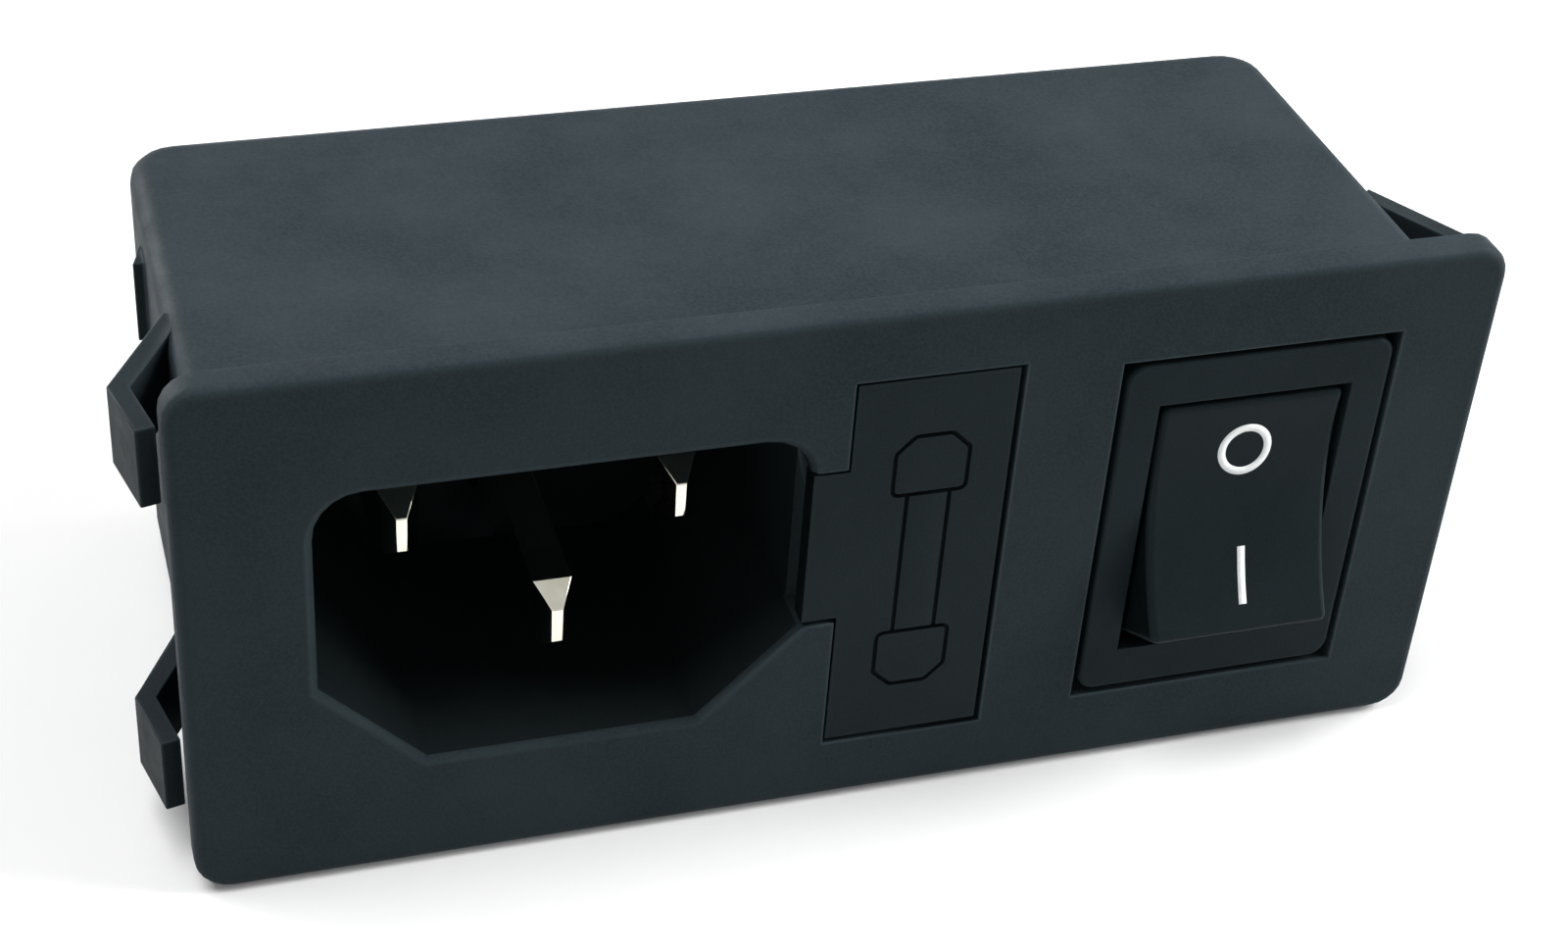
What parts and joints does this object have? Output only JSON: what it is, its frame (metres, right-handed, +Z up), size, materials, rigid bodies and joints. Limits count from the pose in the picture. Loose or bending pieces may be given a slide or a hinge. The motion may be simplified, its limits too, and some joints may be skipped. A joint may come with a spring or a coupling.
{
  "type": "power entry module",
  "caption": "Snap-in power entry module: a recessed appliance inlet, a pull-out fuse drawer and a rocker switch side by side in one flanged housing.",
  "frame": {"origin": "centre of the flange's back face, in the plane of the panel that it seats on", "axes": "+X to the right seen from the front, +Y backwards into the equipment, +Z up; the front faces -Y"},
  "size_m": [0.0698, 0.0395, 0.0298],
  "materials": {
    "frame_plastic": "fine matte black moulding",
    "shell_plastic": "fine matte black moulding",
    "drawer_plastic": "fine matte black moulding",
    "switch_plastic": "matte black moulding",
    "rocker_plastic": "smooth black moulding with white position marks",
    "plunger_plastic": "natural nylon",
    "blade_metal": "bright nickel plating",
    "contact_metal": "plated brass",
    "spring_metal": "spring steel wire",
    "cap_metal": "nickel-plated cap",
    "fuse_glass": "clear glass tube"
  },
  "bodies": {
    "module": {"front_frame": "frame_plastic", "rear_shell": "shell_plastic", "line_pin": "blade_metal", "neutral_pin": "blade_metal", "earth_pin": "blade_metal", "line_link": "contact_metal", "fuse_contact_upper": "contact_metal", "fuse_contact_lower": "contact_metal", "switch_frame": "switch_plastic", "switch_common_left": "contact_metal", "switch_common_right": "contact_metal", "switch_contact_left": "contact_metal", "switch_contact_right": "contact_metal"},
    "drawer": {"fuse_drawer": "drawer_plastic", "fuse_tube": "fuse_glass", "fuse_cap_upper": "cap_metal", "fuse_cap_lower": "cap_metal", "fuse_wire": "cap_metal"},
    "rocker_body": {"rocker": "rocker_plastic", "plunger_left": "plunger_plastic", "plunger_right": "plunger_plastic", "plunger_spring_left": "spring_metal", "plunger_spring_right": "spring_metal"},
    "levers": {"contact_lever_left": "contact_metal", "contact_lever_right": "contact_metal"}
  },
  "joints": [
    {"name": "drawer_pull", "type": "slide", "parent": "module", "child": "drawer", "axis": [0, -1, 0], "range_m": [0, 0.011]},
    {"name": "rocker_tilt", "type": "hinge", "parent": "module", "child": "rocker_body", "pos_m": [0.02025, 0.0014, 0], "axis": [1, 0, 0], "range_deg": [0, 28]},
    {"name": "lever_tilt", "type": "hinge", "parent": "module", "child": "levers", "pos_m": [0.02025, 0.0088, 0], "axis": [1, 0, 0], "range_deg": [-14, 0]}
  ],
  "couplings": [
    {"joint": "lever_tilt", "follows": "rocker_tilt", "ratio": -0.5}
  ]
}
